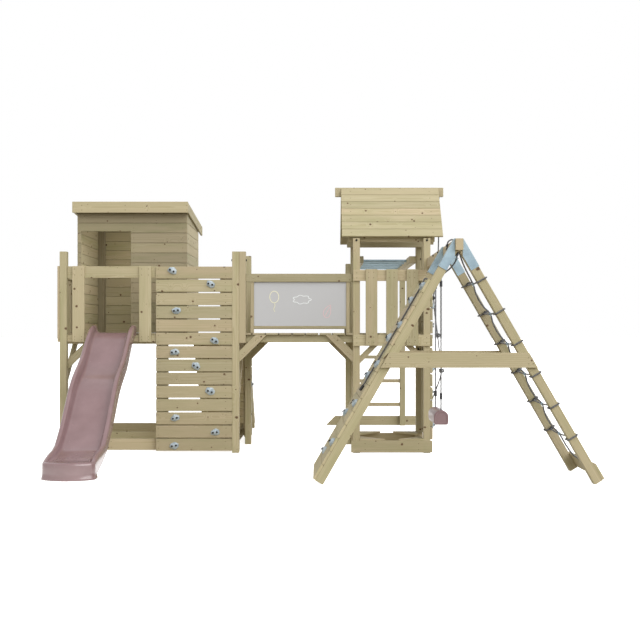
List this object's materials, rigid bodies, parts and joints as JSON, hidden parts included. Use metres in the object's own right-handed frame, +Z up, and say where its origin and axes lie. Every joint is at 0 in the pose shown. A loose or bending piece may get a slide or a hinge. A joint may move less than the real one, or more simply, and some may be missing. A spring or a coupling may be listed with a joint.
{
  "type": "play tower",
  "caption": "Timber play tower: playhouse on a platform, slide, bridge, roofed tower, monkey bars, climbing frame with net and rock wall, and a swing.",
  "frame": {"origin": "middle of the footprint, on the ground", "axes": "+X along the front, from the slide to the climbing frame; +Y from the front to the back; +Z up"},
  "size_m": [4.8812, 4.6922, 2.712],
  "materials": {
    "bridge_deck": "pressure-treated pine, planed, unpainted",
    "bridge_front_frame": "pressure-treated pine, planed, unpainted",
    "bridge_front_guard": "pressure-treated pine, planed, unpainted",
    "bridge_front_panel": "frosted, translucent",
    "bridge_rear_frame": "pressure-treated pine, planed, unpainted",
    "bridge_rear_guard": "pressure-treated pine, planed, unpainted",
    "bridge_rear_panel": "frosted, translucent",
    "climbing_net": "braided rope, matt",
    "end_ladder": "pressure-treated pine, planed, unpainted",
    "front_a_frame": "pressure-treated pine, planed, unpainted",
    "front_apex_bracket": "powder coated, satin",
    "front_climbing_wall": "pressure-treated pine, planed, unpainted",
    "front_swing_hanger": "powder coated, satin",
    "front_swing_rope": "braided rope, matt",
    "house_back_wall": "pressure-treated pine, planed, unpainted",
    "house_front_wall": "pressure-treated pine, planed, unpainted",
    "house_left_wall": "pressure-treated pine, planed, unpainted",
    "house_right_wall": "pressure-treated pine, planed, unpainted",
    "house_roof": "pressure-treated pine, planed, unpainted",
    "knotted_rope": "braided rope, matt",
    "left_base_frame": "pressure-treated pine, planed, unpainted",
    "left_deck": "pressure-treated pine, planed, unpainted",
    "left_front_fence": "pressure-treated pine, planed, unpainted",
    "left_front_left_post": "pressure-treated pine, planed, unpainted",
    "left_front_right_post": "pressure-treated pine, planed, unpainted",
    "left_rear_left_post": "pressure-treated pine, planed, unpainted",
    "left_rear_right_post": "pressure-treated pine, planed, unpainted",
    "left_side_climbing_wall": "pressure-treated pine, planed, unpainted",
    "left_side_fence": "pressure-treated pine, planed, unpainted",
    "monkey_bar_left_rail": "pressure-treated pine, planed, unpainted",
    "monkey_bar_right_rail": "pressure-treated pine, planed, unpainted",
    "monkey_bar_rung_1": "powder coated, satin",
    "monkey_bar_rung_2": "powder coated, satin",
    "monkey_bar_rung_3": "powder coated, satin",
    "monkey_bar_rung_4": "powder coated, satin",
    "monkey_bar_rung_5": "powder coated, satin",
    "net_foot_board": "pressure-treated pine, planed, unpainted",
    "rear_a_frame": "pressure-treated pine, planed, unpainted",
    "rear_apex_bracket": "powder coated, satin",
    "rear_ramp": "pressure-treated pine, planed, unpainted",
    "rear_swing_hanger": "powder coated, satin",
    "rear_swing_rope": "braided rope, matt",
    "ridge_beam": "pressure-treated pine, planed, unpainted",
    "rock_wall": "pressure-treated pine, planed, unpainted",
    "roof_frame": "pressure-treated pine, planed, unpainted",
    "roof_front_slope": "pressure-treated pine, planed, unpainted",
    "roof_rear_slope": "pressure-treated pine, planed, unpainted",
    "sandbox_frame": "pressure-treated pine, planed, unpainted",
    "slide": "moulded, low sheen",
    "swing_beam": "pressure-treated pine, planed, unpainted",
    "swing_seat": "moulded, satin",
    "tower_deck": "pressure-treated pine, planed, unpainted",
    "tower_front_left_post": "pressure-treated pine, planed, unpainted",
    "tower_front_right_post": "pressure-treated pine, planed, unpainted",
    "tower_railing": "pressure-treated pine, planed, unpainted",
    "tower_rear_left_post": "pressure-treated pine, planed, unpainted",
    "tower_rear_right_post": "pressure-treated pine, planed, unpainted",
    "tower_side_climbing_wall": "pressure-treated pine, planed, unpainted",
    "wall_rope": "braided rope, matt"
  },
  "bodies": {
    "structure": {"bridge_deck": "bridge_deck", "bridge_front_frame": "bridge_front_frame", "bridge_front_guard": "bridge_front_guard", "bridge_front_panel": "bridge_front_panel", "bridge_rear_frame": "bridge_rear_frame", "bridge_rear_guard": "bridge_rear_guard", "bridge_rear_panel": "bridge_rear_panel", "climbing_net": "climbing_net", "end_ladder": "end_ladder", "front_a_frame": "front_a_frame", "front_apex_bracket": "front_apex_bracket", "front_climbing_wall": "front_climbing_wall", "front_swing_hanger": "front_swing_hanger", "house_back_wall": "house_back_wall", "house_front_wall": "house_front_wall", "house_left_wall": "house_left_wall", "house_right_wall": "house_right_wall", "house_roof": "house_roof", "knotted_rope": "knotted_rope", "left_base_frame": "left_base_frame", "left_deck": "left_deck", "left_front_fence": "left_front_fence", "left_front_left_post": "left_front_left_post", "left_front_right_post": "left_front_right_post", "left_rear_left_post": "left_rear_left_post", "left_rear_right_post": "left_rear_right_post", "left_side_climbing_wall": "left_side_climbing_wall", "left_side_fence": "left_side_fence", "monkey_bar_left_rail": "monkey_bar_left_rail", "monkey_bar_right_rail": "monkey_bar_right_rail", "monkey_bar_rung_1": "monkey_bar_rung_1", "monkey_bar_rung_2": "monkey_bar_rung_2", "monkey_bar_rung_3": "monkey_bar_rung_3", "monkey_bar_rung_4": "monkey_bar_rung_4", "monkey_bar_rung_5": "monkey_bar_rung_5", "net_foot_board": "net_foot_board", "rear_a_frame": "rear_a_frame", "rear_apex_bracket": "rear_apex_bracket", "rear_ramp": "rear_ramp", "rear_swing_hanger": "rear_swing_hanger", "ridge_beam": "ridge_beam", "rock_wall": "rock_wall", "roof_frame": "roof_frame", "roof_front_slope": "roof_front_slope", "roof_rear_slope": "roof_rear_slope", "sandbox_frame": "sandbox_frame", "slide": "slide", "swing_beam": "swing_beam", "tower_deck": "tower_deck", "tower_front_left_post": "tower_front_left_post", "tower_front_right_post": "tower_front_right_post", "tower_railing": "tower_railing", "tower_rear_left_post": "tower_rear_left_post", "tower_rear_right_post": "tower_rear_right_post", "tower_side_climbing_wall": "tower_side_climbing_wall", "wall_rope": "wall_rope"},
    "swing": {"front_swing_rope": "front_swing_rope", "rear_swing_rope": "rear_swing_rope", "swing_seat": "swing_seat"}
  },
  "joints": [
    {"name": "swing_hinge", "type": "hinge", "parent": "structure", "child": "swing", "pos_m": [1.28566, -1.05615, 1.8], "axis": [0, 1, 0], "range_deg": [-60, 60]}
  ]
}
